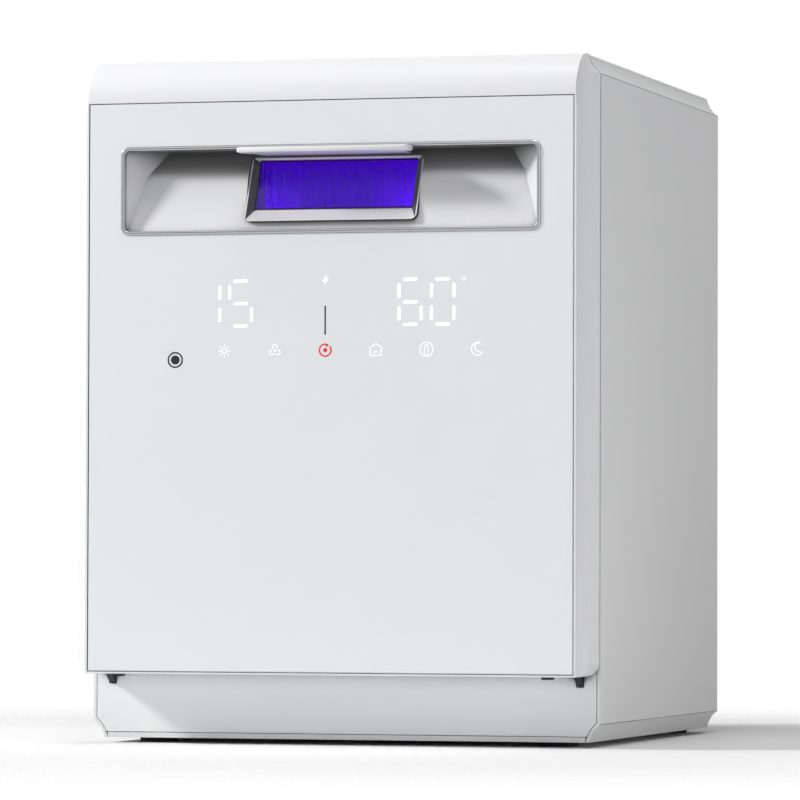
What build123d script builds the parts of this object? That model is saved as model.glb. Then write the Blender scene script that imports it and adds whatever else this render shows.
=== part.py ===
from build123d import *
import os
from math import atan2, cos, hypot, sin

# A table-top steriliser and dryer for feeding bottles: a white cabinet with a
# bright metal chamber, a drop-down glass door and a warm-air unit at the back.
# Millimetres. X to the right, Y to the back, Z up. The origin is on the table,
# under the middle of the whole object.
#
# Cabinet coordinates, used below: x from the middle, y back from the cabinet's
# front plane, z up from the cabinet's underside.

os.makedirs("parts", exist_ok=True)

# Cabinet shell
body_width = 300.0
body_depth = 305.0
body_height = 387.5
panel_thickness = 1.8
cove_inset = 6.4
cove_radius = 16.5
bottom_cove_height = 10.2
top_cove_height = 8.9
top_lip_height = 2.1
seam_gap = 0.3
tray_thickness = 3.0
bezel_thickness = 3.0
rear_cover_thickness = 2.0
rear_screw_head = 1.4
apron_thickness = 2.5
apron_height = 43.9

# Feet
foot_height = 3.0
foot_radius = 11.4
foot_bottom_radius = 10.6
foot_stem_radius = 4.0
front_foot_side_margin = 30.5
rear_foot_side_margin = 26.0
front_foot_y = 28.0
rear_foot_from_back = 19.0
foot_screw_radius = 1.7
foot_screw_head_radius = 3.2

# Door
door_reach = 33.5
door_gap = 2.0
door_bottom = 37.2
door_wall = 2.4
door_top_radius = 27.0
door_side_radius = 22.1
door_side_reach = 26.1
door_corner_radius = 7.5
glass_thickness = 3.0
glass_side_margin = 7.5
glass_bottom_margin = 1.4
glass_top_margin = 25.5
inner_panel_thickness = 1.2
post_radius = 4.0
post_side_margin = 7.2

# Door hinge, at the door's lower back corner
pivot_from_back = 6.0
hinge_pin_radius = 2.0
hinge_pin_fit = 0.06
hinge_pin_length = 14.0
bracket_side_margin = 11.6
bracket_thickness = 3.7
bracket_side_clearance = 0.65
bracket_nose_radius = 4.5
bracket_depth = 18.0
stop_pad_side_margin = 23.7
stop_pad_width = 6.1
stop_pad_length = 6.0
stop_pad_proud = 1.5
stop_pad_back = 26.3

# Handle recess in the door's glass
recess_side_margin = 28.7
recess_height = 46.0
recess_from_top = 52.5
recess_depth = 21.3
recess_fold_drop = 14.0
recess_fold_depth = 12.0
recess_fold_radius = 14.0
recess_side_splay = 19.9
recess_wall = 2.0
recess_flange = 6.0
trim_width = 2.2
trim_proud = 0.8
trim_corner_radius = 5.0
lip_half_width = 50.5
lip_reach = 15.0
lip_thickness = 3.0
lip_corner_radius = 4.0

# Viewing window, set in the recess and leaning back at the top
window_half_width = 50.8
window_floor_gap = 5.0
window_ceiling_gap = 3.4
window_bottom_depth = 1.5
window_top_depth = 19.3
window_border = 4.3
window_sill = 8.0
window_head = 1.6
window_rim = 0.7
window_corner_radius = 3.5
pane_edge = 0.8
pane_thickness = 2.0
pane_set_back = 3.0
window_fit = 0.3

# Display behind the glass
board_half_width = 100.0
board_below_recess = 24.0
board_height = 60.0
board_thickness = 1.6
light_clearance = 0.1
digit_module_width = 34.0
digit_module_height = 32.0
left_digits_x = -49.5
right_digits_x = 59.0
digits_drop = 18.0
icon_row_rise = 15.5
icon_spacing = 29.7
icon_first_x = -61.3
icon_count = 6
power_light_x = -90.6
power_light_rise = 10.6
light_guide_radius = 4.4

# Chamber
chamber_side_margin = 32.0
chamber_bottom = 60.0
chamber_from_top = 47.5
chamber_wall = 1.0
chamber_flange = 12.0
gasket_offset = 4.0
gasket_width = 6.0
gasket_groove = 1.6
gasket_proud = 1.6
rail_width = 6.0
rail_height = 8.0
rail_overhang = 2.0
rail_lip = 2.0
lower_rack_z = 86.0
upper_rack_z = 212.0
rack_clearance = 0.4
rack_side_gap = 1.5
rack_front = 14.0
rack_back_gap = 9.0
upper_rack_supports = 2
rack_rod_radius = 1.6
rack_wire_radius = 1.1
rack_wire_count = 15
rack_corner_radius = 10.0
rack_weld = 0.5
rack_peg_radius = 1.5
peg_height = 38.0
peg_columns = 5
peg_rows = 5
drip_tray_height = 9.0
drip_tray_wall = 1.6
drip_tray_gap = 2.0

# Ultraviolet lamp above the chamber
lamp_half_width = 72.0
lamp_centre_y = 80.0
lamp_half_depth = 22.0
lamp_housing_height = 18.0
lamp_cover_thickness = 2.5
lamp_count = 7

# Warm-air unit behind the chamber
fan_rise = 5.0
fan_half = 46.0
fan_depth = 25.0
fan_bore_radius = 42.5
fan_tip_gap = 1.5
fan_hub_radius = 15.0
fan_blade_count = 7
fan_shaft_radius = 1.6
fan_shaft_fit = 0.05
duct_wall = 2.0
duct_lead = 5.0
fan_gap = 3.0
heater_depth = 14.0
heater_fin_count = 12
filter_depth = 9.0
filter_cover_depth = 13.0
filter_cover_thickness = 2.0

# Electrics
power_board_size = (110.0, 86.0)
inlet_side_margin = 46.0
inlet_z = 34.0
inlet_half_width = 14.0
inlet_half_height = 10.0

overall_depth = lip_reach + door_reach + body_depth + rear_screw_head
body_front_y = overall_depth / 2 - rear_screw_head - body_depth
base_z = foot_height
body_half = body_width / 2
cover_half = body_half - cove_inset
lip_bottom = body_height - top_lip_height
side_top = lip_bottom - top_cove_height
shell_inside = body_half - panel_thickness
pivot_y = -door_gap - pivot_from_back
pivot_z = door_bottom + pivot_from_back
glass_back = -door_reach + glass_thickness
frame_wall_back = glass_back + door_wall
inner_panel_front = -door_gap - inner_panel_thickness
front_foot_x = body_half - front_foot_side_margin
rear_foot_x = body_half - rear_foot_side_margin
rear_foot_y = body_depth - rear_foot_from_back
bracket_x = body_half - bracket_side_margin
stop_pad_x = body_half - stop_pad_side_margin
inlet_x = body_half - inlet_side_margin
glass_half_width = body_half - glass_side_margin
glass_top = body_height - glass_top_margin
recess_half_width = body_half - recess_side_margin
recess_back_half_width = recess_half_width - recess_side_splay
recess_top = body_height - recess_from_top
recess_bottom = recess_top - recess_height
recess_fold_height = recess_top - recess_fold_drop
window_bottom = recess_bottom + window_floor_gap
window_top = recess_top - window_ceiling_gap
board_top = recess_bottom - board_below_recess
board_bottom = board_top - board_height
digits_z = board_top - digits_drop
icon_row_z = board_bottom + icon_row_rise
power_light_z = board_bottom + power_light_rise
chamber_half_width = body_half - chamber_side_margin
chamber_top = body_height - chamber_from_top
chamber_middle = (chamber_bottom + chamber_top) / 2
fan_z = chamber_middle + fan_rise
filter_back = body_depth - filter_cover_depth
filter_front = filter_back - filter_depth
fan_front = filter_front - fan_depth
heater_front = fan_front - fan_gap - heater_depth
duct_front = heater_front - duct_lead
liner_back = duct_front - chamber_wall
rack_depth = liner_back - rack_back_gap - rack_front
rail_length = rack_depth + rail_overhang


def front_view(y):
    """The plane at depth y, seen from the front: local x and z."""
    return Plane(origin=(0, body_front_y + y, base_z), x_dir=(1, 0, 0), z_dir=(0, -1, 0))


def side_view(x):
    """The plane at x, seen from the right: local y and z."""
    return Plane(origin=(x, body_front_y, base_z), x_dir=(0, 1, 0), z_dir=(1, 0, 0))


def top_view(z):
    """The plane at height z, seen from above: local x and y."""
    return Plane(origin=(0, body_front_y, base_z + z), x_dir=(1, 0, 0), z_dir=(0, 0, 1))


def block(x_span, y_span, z_span, mode=Mode.ADD):
    """A square block between two values on each axis, in the part being made."""
    middle = (sum(x_span) / 2, body_front_y + sum(y_span) / 2, base_z + sum(z_span) / 2)
    sizes = (x_span[1] - x_span[0], y_span[1] - y_span[0], z_span[1] - z_span[0])
    with Locations(middle):
        Box(*sizes, mode=mode)


def finish(piece, name):
    """Label a piece and write it."""
    piece.part.label = name
    export_step(piece.part, f"parts/{name}.step")


def cabinet_outline(inset=0.0):
    """The cabinet seen from the front: its four long corners are scooped out."""
    with BuildSketch() as outline:
        with BuildLine():
            Line((-cover_half, 0), (cover_half, 0))
            RadiusArc((cover_half, 0), (body_half, bottom_cove_height), cove_radius)
            Line((body_half, bottom_cove_height), (body_half, side_top))
            RadiusArc((body_half, side_top), (cover_half, lip_bottom), cove_radius)
            Line((cover_half, lip_bottom), (cover_half, body_height))
            Line((cover_half, body_height), (-cover_half, body_height))
            Line((-cover_half, body_height), (-cover_half, lip_bottom))
            RadiusArc((-cover_half, lip_bottom), (-body_half, side_top), cove_radius)
            Line((-body_half, side_top), (-body_half, bottom_cove_height))
            RadiusArc((-body_half, bottom_cove_height), (-cover_half, 0), cove_radius)
        make_face()
    if inset == 0:
        return outline.sketch
    return offset(outline.sketch, amount=-inset, kind=Kind.INTERSECTION, mode=Mode.PRIVATE)


def span(low, high, half_width):
    """A rectangle from low to high, as wide as the half width on both sides."""
    return Pos(0, (low + high) / 2) * Rectangle(2 * half_width, high - low, mode=Mode.PRIVATE)


# Side panels: one bent shell each, with a cove along the top and the bottom edge
with BuildPart() as right_side_panel:
    with BuildSketch(front_view(0)):
        add(cabinet_outline())
        add(cabinet_outline(panel_thickness), mode=Mode.SUBTRACT)
        with Locations(((cover_half - panel_thickness + body_half) / 2, lip_bottom / 2)):
            Rectangle(cove_inset + panel_thickness, lip_bottom, mode=Mode.INTERSECT)
    extrude(amount=-body_depth)
with BuildPart() as left_side_panel:
    mirror(right_side_panel.part, about=Plane.YZ)
finish(right_side_panel, "right_side_panel")
finish(left_side_panel, "left_side_panel")

# Top cover: a lipped plate with a hidden stiffening rim below it
rim_half = cover_half - panel_thickness - seam_gap
with BuildPart() as top_cover:
    block((-cover_half, cover_half), (0, body_depth), (lip_bottom, body_height))
    top_edges = top_cover.faces().sort_by(Axis.Z)[-1].edges()
    fillet(top_edges.filter_by(Axis.Y), top_lip_height * 0.55)
    rear_edges = top_cover.edges().filter_by(Axis.X).sort_by(Axis.Y)[-2:]
    fillet(rear_edges.sort_by(Axis.Z)[-1], top_lip_height * 0.9)
    rim = (bezel_thickness + seam_gap, body_depth - rear_cover_thickness - seam_gap)
    rim_bottom = lip_bottom - top_cove_height
    block((-rim_half, rim_half), rim, (rim_bottom, lip_bottom))
    inner_rim = (rim[0] + panel_thickness, rim[1] - panel_thickness)
    block((-rim_half + panel_thickness, rim_half - panel_thickness), inner_rim,
          (rim_bottom, lip_bottom), mode=Mode.SUBTRACT)
finish(top_cover, "top_cover")

# Base tray: floor of the cabinet, flanges for the side panels, posts and bosses
tray_half = rim_half
tray_shelf = bottom_cove_height + panel_thickness
tray_wall_top = tray_shelf + panel_thickness
tray_flange_height = 18.0
liner_post_x = chamber_half_width - 18.0
liner_post_radius = 5.0
foot_places = [(sign * front_foot_x, front_foot_y) for sign in (-1, 1)]
foot_places += [(sign * rear_foot_x, rear_foot_y) for sign in (-1, 1)]
board_centre = (-36.0, body_depth - 115.0)
board_standoff = 8.0
with BuildPart() as base_tray:
    block((-tray_half, tray_half), (0, body_depth), (0, tray_thickness))
    for sign in (-1, 1):
        for low, high, bottom, top in (
            (tray_half - panel_thickness, tray_half, 0, tray_wall_top),
            (tray_half - panel_thickness, shell_inside, tray_shelf, tray_wall_top),
            (shell_inside - panel_thickness, shell_inside, tray_shelf, tray_wall_top + tray_flange_height),
        ):
            flange_front = apron_thickness + bracket_depth + 2
            flange_back = body_depth - rear_cover_thickness - seam_gap
            block(sorted((sign * low, sign * high)), (flange_front, flange_back), (bottom, top))
    with BuildSketch(top_view(tray_thickness)):
        with Locations(*[(x, y) for x in (-liner_post_x, liner_post_x) for y in (60.0, liner_back - 40.0)]):
            Circle(liner_post_radius)
    extrude(amount=chamber_bottom - chamber_wall - tray_thickness)
    with BuildSketch(top_view(tray_thickness)):
        with Locations(*foot_places):
            Circle(foot_stem_radius + 2)
        with Locations(board_centre):
            with GridLocations(power_board_size[0] - 10, power_board_size[1] - 10, 2, 2):
                Circle(3)
    extrude(amount=board_standoff)
    with Locations(*[(x, body_front_y + y, base_z) for x, y in foot_places]):
        Hole(foot_screw_radius, depth=2 * (tray_thickness + board_standoff) - 2)
finish(base_tray, "base_tray")

# Base front panel: the plinth under the door, with slots for the hinge brackets
slot_half = bracket_thickness / 2 + 0.4
slot_bottom = 30.8
with BuildPart() as base_front_panel:
    with BuildSketch(front_view(0)):
        add(cabinet_outline(panel_thickness + seam_gap))
        add(span(tray_thickness + seam_gap, apron_height, body_half), mode=Mode.INTERSECT)
        for sign in (-1, 1):
            with Locations((sign * bracket_x, (slot_bottom + apron_height) / 2)):
                Rectangle(2 * slot_half, apron_height - slot_bottom, mode=Mode.SUBTRACT)
    extrude(amount=-apron_thickness)
finish(base_front_panel, "base_front_panel")

# Front bezel: the frame round the chamber mouth, with a groove for the gasket
gasket_inner = chamber_half_width + gasket_offset
gasket_bottom = chamber_bottom - gasket_offset
gasket_top = chamber_top + gasket_offset


def gasket_ring(extra):
    """The gasket's outline, wider by the extra amount at each edge."""
    inner_width = 2 * (gasket_inner - extra)
    inner_height = gasket_top - gasket_bottom - 2 * extra
    rise = 2 * (gasket_width + 2 * extra)
    outer = RectangleRounded(inner_width + rise, inner_height + rise, 9.0 + extra, mode=Mode.PRIVATE)
    inner = RectangleRounded(inner_width, inner_height, 3.0, mode=Mode.PRIVATE)
    return Pos(0, chamber_middle) * (outer - inner)


latch_x = body_half - 28.0
latch_z = glass_top + 2.0
latch_size = (16.0, 8.0)
with BuildPart() as front_bezel:
    with BuildSketch(front_view(0)):
        add(cabinet_outline(panel_thickness + seam_gap))
        add(span(apron_height + seam_gap, lip_bottom, body_half), mode=Mode.INTERSECT)
        add(span(chamber_bottom, chamber_top, chamber_half_width), mode=Mode.SUBTRACT)
    extrude(amount=-bezel_thickness)
    with BuildSketch(front_view(0)):
        add(gasket_ring(0.1))
    extrude(amount=-gasket_groove, mode=Mode.SUBTRACT)
    with BuildSketch(front_view(0)):
        with Locations((-latch_x, latch_z), (latch_x, latch_z)):
            Rectangle(*latch_size)
    extrude(amount=-bezel_thickness, mode=Mode.SUBTRACT)
finish(front_bezel, "front_bezel")

with BuildPart() as door_gasket:
    with BuildSketch(front_view(gasket_groove)):
        add(gasket_ring(0))
    extrude(amount=gasket_groove + gasket_proud)
    fillet(door_gasket.faces().sort_by(Axis.Y)[0].edges(), 1.2)
finish(door_gasket, "door_gasket")

# Latch magnets sit in the bezel, behind the door's top corners
with BuildPart() as latch_magnets:
    with BuildSketch(front_view(0.2)):
        with Locations((-latch_x, latch_z), (latch_x, latch_z)):
            Rectangle(latch_size[0] - 0.2, latch_size[1] - 0.2)
    extrude(amount=-(bezel_thickness - 0.2))
finish(latch_magnets, "latch_magnets")

# Rear cover: a plate inside the shell, with louvres, a filter opening and an inlet opening
filter_half = fan_half - 1.0
louvre_count = 7
louvre_pitch = 9.0
louvre_width = 120.0
louvre_drop = 20.0
rear_screw_x = shell_inside - 16.2
rear_screw_heights = (26.0, chamber_middle, body_height - 17.5)
rear_screw_places = [(x, z) for x in (-rear_screw_x, rear_screw_x) for z in rear_screw_heights]
with BuildPart() as rear_cover:
    with BuildSketch(front_view(body_depth - rear_cover_thickness)):
        add(cabinet_outline(panel_thickness + seam_gap))
        add(span(tray_thickness + seam_gap, lip_bottom, body_half), mode=Mode.INTERSECT)
        with Locations((0, fan_z)):
            Rectangle(2 * filter_half, 2 * filter_half, mode=Mode.SUBTRACT)
        with Locations((inlet_x, inlet_z)):
            Rectangle(2 * inlet_half_width, 2 * inlet_half_height, mode=Mode.SUBTRACT)
        with Locations((0, chamber_top - louvre_drop)):
            with GridLocations(0, louvre_pitch, 1, louvre_count):
                SlotOverall(louvre_width, 3.6, mode=Mode.SUBTRACT)
        with Locations(*rear_screw_places):
            Circle(1.7, mode=Mode.SUBTRACT)
    extrude(amount=-rear_cover_thickness)
finish(rear_cover, "rear_cover")

with BuildPart() as rear_screws:
    with BuildSketch(front_view(body_depth)):
        with Locations(*rear_screw_places):
            Circle(3.0)
    extrude(amount=-rear_screw_head)
    with BuildSketch(front_view(body_depth)):
        with Locations(*rear_screw_places):
            Circle(1.5)
    extrude(amount=8.0)
finish(rear_screws, "rear_screws")

# Chamber liner: a folded metal box, open at the front, with a flange behind the bezel
grille_half = 36.0
lamp_opening_half_width = lamp_half_width - 4.0
lamp_opening_half_depth = lamp_half_depth - 4.0
outlet_z = 84.0
with BuildPart() as chamber_liner:
    outer_half = chamber_half_width + chamber_wall
    block((-outer_half, outer_half), (bezel_thickness, liner_back + chamber_wall),
          (chamber_bottom - chamber_wall, chamber_top + chamber_wall))
    flange_half = chamber_half_width + chamber_flange
    block((-flange_half, flange_half), (bezel_thickness, bezel_thickness + chamber_wall),
          (chamber_bottom - chamber_flange, chamber_top + chamber_flange))
    block((-chamber_half_width, chamber_half_width), (bezel_thickness, liner_back),
          (chamber_bottom, chamber_top), mode=Mode.SUBTRACT)
    with BuildSketch(front_view(liner_back)):
        with Locations((0, fan_z)):
            with GridLocations(2 * grille_half / 8, 2 * grille_half / 8, 9, 9):
                Circle(2.6)
        with Locations((0, outlet_z)):
            with GridLocations(12.0, 0, 11, 1):
                SlotOverall(16.0, 4.0, rotation=90)
    extrude(amount=-chamber_wall, mode=Mode.SUBTRACT)
    block((-lamp_opening_half_width, lamp_opening_half_width),
          (lamp_centre_y - lamp_opening_half_depth, lamp_centre_y + lamp_opening_half_depth),
          (chamber_top, chamber_top + chamber_wall), mode=Mode.SUBTRACT)
finish(chamber_liner, "chamber_liner")

# Rack rails: an angle strip on each wall, two high
rail_front = rack_front + 1.0
for height_name, rack_z in (("lower", lower_rack_z), ("upper", upper_rack_z)):
    for side_name, sign in (("left", -1), ("right", 1)):
        rail_top = rack_z - rack_rod_radius - rack_clearance
        wall = sign * chamber_half_width
        with BuildPart() as rail:
            block(sorted((wall, wall - sign * rail_width)), (rail_front, rail_front + rail_length),
                  (rail_top - rail_lip, rail_top))
            block(sorted((wall, wall - sign * rail_lip)), (rail_front, rail_front + rail_length),
                  (rail_top - rail_height, rail_top))
        finish(rail, f"{height_name}_{side_name}_rail")

# Racks: a bent wire frame with cross wires welded on top
rack_half = chamber_half_width - rack_side_gap - rack_rod_radius - 1.0
rack_middle_y = rack_front + rack_depth / 2
wire_rise = rack_rod_radius + rack_wire_radius - rack_weld
wire_pitch = 2 * rack_half / (rack_wire_count + 1)
racks = {}
for name, rack_z, support_count in (
    ("upper_rack", upper_rack_z, upper_rack_supports),
    ("lower_rack", lower_rack_z, peg_rows),
):
    with BuildPart() as rack:
        with BuildSketch(top_view(rack_z)):
            with Locations((0, rack_middle_y)):
                outside = 2 * rack_half + 2 * rack_rod_radius
                RectangleRounded(outside, rack_depth, rack_corner_radius)
                RectangleRounded(outside - 4 * rack_rod_radius, rack_depth - 4 * rack_rod_radius,
                                 rack_corner_radius - 2 * rack_rod_radius, mode=Mode.SUBTRACT)
        extrude(amount=rack_rod_radius, both=True)
        fillet(rack.edges().group_by(Axis.Z)[0] + rack.edges().group_by(Axis.Z)[-1], rack_rod_radius * 0.8)
        support_pitch = rack_depth / support_count
        with BuildSketch(side_view(-rack_half)):
            with Locations((rack_middle_y, rack_z)):
                with GridLocations(support_pitch, 0, support_count, 1):
                    Circle(rack_wire_radius)
        extrude(amount=2 * rack_half)
        with BuildSketch(front_view(rack_front + rack_rod_radius / 2)):
            with Locations((0, rack_z + wire_rise)):
                with GridLocations(wire_pitch, 0, rack_wire_count, 1):
                    Circle(rack_wire_radius)
        extrude(amount=-(rack_depth - rack_rod_radius))
    racks[name] = rack
    finish(rack, name)

# Pegs for bottles, one welded on each crossing of the lower rack's wires
with BuildPart() as bottle_pegs:
    with BuildSketch(top_view(lower_rack_z + wire_rise)):
        with Locations((0, rack_middle_y)):
            with GridLocations(3 * wire_pitch, rack_depth / peg_rows, peg_columns, peg_rows):
                Circle(rack_peg_radius)
    extrude(amount=peg_height)
    peg_tops = bottle_pegs.faces().filter_by(Plane.XY).group_by(Axis.Z)[-1]
    fillet(peg_tops.edges(), rack_peg_radius * 0.6)
    add(racks["lower_rack"].part, mode=Mode.SUBTRACT)
finish(bottle_pegs, "bottle_pegs")

# Drip tray: lies on the chamber floor
tray_outer = chamber_half_width - drip_tray_gap
tray_back = liner_back - drip_tray_gap
with BuildPart() as drip_tray:
    block((-tray_outer, tray_outer), (rack_front, tray_back),
          (chamber_bottom, chamber_bottom + drip_tray_height))
    fillet(drip_tray.edges().filter_by(Axis.Z), 6.0)
    offset(amount=-drip_tray_wall, openings=drip_tray.faces().sort_by(Axis.Z)[-1])
finish(drip_tray, "drip_tray")

# Ultraviolet lamp: a cover plate over the opening in the ceiling, a board with
# lamps looking down, and a pressed housing over both
cover_top = chamber_top + chamber_wall + lamp_cover_thickness
lamp_y = (lamp_centre_y - lamp_half_depth, lamp_centre_y + lamp_half_depth)
with BuildPart() as lamp_cover:
    block((-lamp_half_width, lamp_half_width), lamp_y, (chamber_top + chamber_wall, cover_top))
finish(lamp_cover, "lamp_cover")

with BuildPart() as uv_lamp_housing:
    block((-lamp_half_width - 6, lamp_half_width + 6), (lamp_y[0] - 6, lamp_y[1] + 6),
          (cover_top, cover_top + lamp_housing_height))
    block((-lamp_half_width + 2, lamp_half_width - 2), (lamp_y[0] + 2, lamp_y[1] - 2),
          (cover_top, cover_top + lamp_housing_height - 2), mode=Mode.SUBTRACT)
finish(uv_lamp_housing, "uv_lamp_housing")

lamp_board_top = cover_top + lamp_housing_height - 2
lamp_board_bottom = lamp_board_top - board_thickness
with BuildPart() as uv_lamp_board:
    block((-lamp_half_width + 3, lamp_half_width - 3), (lamp_y[0] + 3, lamp_y[1] - 3),
          (lamp_board_bottom, lamp_board_top))
    with BuildSketch(top_view(lamp_board_bottom)):
        with Locations((0, lamp_centre_y)):
            with GridLocations(2 * (lamp_half_width - 8) / lamp_count, 14.0, lamp_count, 2):
                Rectangle(5.0, 5.0)
    extrude(amount=-1.8)
finish(uv_lamp_board, "uv_lamp_board")

# Warm-air unit, from the chamber back to the rear cover: duct with heater,
# fan, filter and filter cover


def square_ring(outer, inner):
    """A square ring about the fan's axis, seen from the front."""
    outside = Rectangle(2 * outer, 2 * outer, mode=Mode.PRIVATE)
    inside = Rectangle(2 * inner, 2 * inner, mode=Mode.PRIVATE)
    return Pos(0, fan_z) * (outside - inside)


with BuildPart() as air_duct:
    with BuildSketch(front_view(duct_front)):
        add(square_ring(fan_half, fan_half - duct_wall))
    extrude(amount=-(fan_front - duct_front))
finish(air_duct, "air_duct")

heater_half = fan_half - duct_wall
with BuildPart() as ptc_heater:
    with BuildSketch(front_view(heater_front)):
        add(square_ring(heater_half, heater_half - 4))
        with Locations((0, fan_z)):
            with GridLocations(0, 2 * heater_half / 3, 1, 2):
                Rectangle(2 * heater_half - 6, 5.0)
            with GridLocations(2 * (heater_half - 4) / heater_fin_count, 0, heater_fin_count, 1):
                Rectangle(0.8, 2 * heater_half - 6)
    extrude(amount=-heater_depth)
finish(ptc_heater, "ptc_heater")

motor_back = filter_front - 1.0
motor_depth = 9.0
with BuildPart() as fan_housing:
    with BuildSketch(front_view(fan_front)):
        with Locations((0, fan_z)):
            RectangleRounded(2 * fan_half, 2 * fan_half, 4.0)
            Circle(fan_bore_radius, mode=Mode.SUBTRACT)
    extrude(amount=-fan_depth)
    with BuildSketch(front_view(motor_back)):
        with Locations((0, fan_z)):
            with PolarLocations((fan_bore_radius + fan_hub_radius) / 2, 3):
                Rectangle(fan_bore_radius - fan_hub_radius + 3, 4.0)
            Circle(fan_hub_radius)
    extrude(amount=-1.0)
finish(fan_housing, "fan_housing")

shaft_length = 15.0
with BuildPart() as fan_motor:
    with BuildSketch(front_view(motor_back)):
        with Locations((0, fan_z)):
            Circle(fan_hub_radius - 2)
    extrude(amount=motor_depth)
    with BuildSketch(front_view(motor_back - motor_depth)):
        with Locations((0, fan_z)):
            Circle(fan_shaft_radius)
    extrude(amount=shaft_length - motor_depth)
finish(fan_motor, "fan_motor")

blade_front = fan_front + 2.0
blade_back = motor_back - 1.0
hub_back = motor_back - motor_depth - 1.0
blade_tip = fan_bore_radius - fan_tip_gap
with BuildPart() as fan_impeller:
    with BuildSketch(front_view(blade_front)):
        with Locations((0, fan_z)):
            Circle(fan_hub_radius)
    extrude(amount=-(hub_back - blade_front))
    with BuildSketch(front_view(hub_back)):
        with Locations((0, fan_z)):
            Circle(fan_hub_radius)
            Circle(fan_hub_radius - 1.2, mode=Mode.SUBTRACT)
    extrude(amount=-(blade_back - hub_back))
    blade_angles = [index * 360 / fan_blade_count for index in range(fan_blade_count)]
    fan_axis = Axis((0, body_front_y, base_z + fan_z), (0, 1, 0))
    blade_middle = (blade_front + 1 + hub_back) / 2
    root = Plane(fan_axis.position + (0, blade_middle, 0), x_dir=(1, 0, 0), z_dir=(0, 0, 1))
    for angle in blade_angles:
        with BuildPart(mode=Mode.PRIVATE) as blade:
            with BuildSketch(root.offset(fan_hub_radius - 1)):
                Rectangle(15.0, 1.4, rotation=32)
            with BuildSketch(root.offset(blade_tip)):
                Rectangle(17.0, 1.2, rotation=22)
            loft()
        add(blade.part.rotate(fan_axis, angle))
    with BuildSketch(front_view(hub_back)):
        with Locations((0, fan_z)):
            Circle(fan_shaft_radius + fan_shaft_fit)
    extrude(amount=shaft_length, mode=Mode.SUBTRACT)
finish(fan_impeller, "fan_impeller")

with BuildPart() as air_filter:
    with BuildSketch(front_view(filter_front)):
        with Locations((0, fan_z)):
            Rectangle(2 * filter_half - 2, 2 * filter_half - 2)
    extrude(amount=-filter_depth)
    pleat_count = 12
    pleat_pitch = (2 * filter_half - 10) / pleat_count
    with BuildSketch(front_view(filter_back)):
        with Locations((0, fan_z)):
            with GridLocations(pleat_pitch, 0, pleat_count, 1):
                Rectangle(pleat_pitch * 0.45, 2 * filter_half - 12)
    extrude(amount=filter_depth * 0.6, mode=Mode.SUBTRACT)
finish(air_filter, "air_filter")

with BuildPart() as filter_cover:
    with BuildSketch(front_view(filter_back)):
        add(square_ring(filter_half - 0.4, filter_half - 2.4))
    extrude(amount=-(filter_cover_depth - filter_cover_thickness))
    with BuildSketch(front_view(body_depth - filter_cover_thickness)):
        with Locations((0, fan_z)):
            Rectangle(2 * filter_half - 0.8, 2 * filter_half - 0.8)
            with GridLocations(0, 8.0, 1, 9):
                SlotOverall(2 * filter_half - 18, 3.6, mode=Mode.SUBTRACT)
    extrude(amount=-filter_cover_thickness)
finish(filter_cover, "filter_cover")

# Power board on the tray's bosses, with its larger components
board_z = tray_thickness + board_standoff
with BuildPart() as power_board:
    centre_x, centre_y = board_centre
    half_x, half_y = power_board_size[0] / 2, power_board_size[1] / 2
    block((centre_x - half_x, centre_x + half_x), (centre_y - half_y, centre_y + half_y),
          (board_z, board_z + board_thickness))
    component_z = board_z + board_thickness
    block((centre_x - 30, centre_x), (centre_y - 16, centre_y + 12), (component_z, component_z + 22))
    block((centre_x + 22, centre_x + 40), (centre_y - 30, centre_y - 14), (component_z, component_z + 15))
    block((centre_x + 16, centre_x + 20), (centre_y - 2, centre_y + 34), (component_z, component_z + 20))
    with BuildSketch(top_view(component_z)):
        with Locations((centre_x + 34, centre_y + 14), (centre_x + 34, centre_y + 30),
                       (centre_x - 42, centre_y - 26)):
            Circle(6.5)
    extrude(amount=20.0)
finish(power_board, "power_board")

# Power inlet: a two-pin socket flush with the rear cover
with BuildPart() as power_inlet:
    block((inlet_x - inlet_half_width + 0.3, inlet_x + inlet_half_width - 0.3),
          (body_depth - 20, body_depth),
          (inlet_z - inlet_half_height + 0.3, inlet_z + inlet_half_height - 0.3))
    block((inlet_x - inlet_half_width - 3, inlet_x + inlet_half_width + 3),
          (body_depth - rear_cover_thickness - 2, body_depth - rear_cover_thickness),
          (inlet_z - inlet_half_height - 3, inlet_z + inlet_half_height + 3))
    with BuildSketch(front_view(body_depth)):
        with Locations((inlet_x, inlet_z)):
            SlotOverall(20.0, 10.0)
    extrude(amount=15.0, mode=Mode.SUBTRACT)
    with BuildSketch(front_view(body_depth - 3)):
        with Locations((inlet_x - 4, inlet_z), (inlet_x + 4, inlet_z)):
            Circle(1.2)
    extrude(amount=12.5)
finish(power_inlet, "power_inlet")

# Temperature sensor: a probe through the liner's back wall
sensor_x = 74.0
sensor_z = 150.0
with BuildPart() as temperature_sensor:
    with BuildSketch(front_view(duct_front)):
        with Locations((sensor_x, sensor_z)):
            Circle(7.0)
    extrude(amount=-5.0)
finish(temperature_sensor, "temperature_sensor")

# Door sensor behind the bezel, opposite a small magnet in the door
sensor_span_x = (60.0, 74.0)
sensor_span_z = (chamber_top + chamber_flange + 2, chamber_top + chamber_flange + 12)
with BuildPart() as door_sensor:
    block(sensor_span_x, (bezel_thickness, bezel_thickness + 6), sensor_span_z)
finish(door_sensor, "door_sensor")

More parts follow.
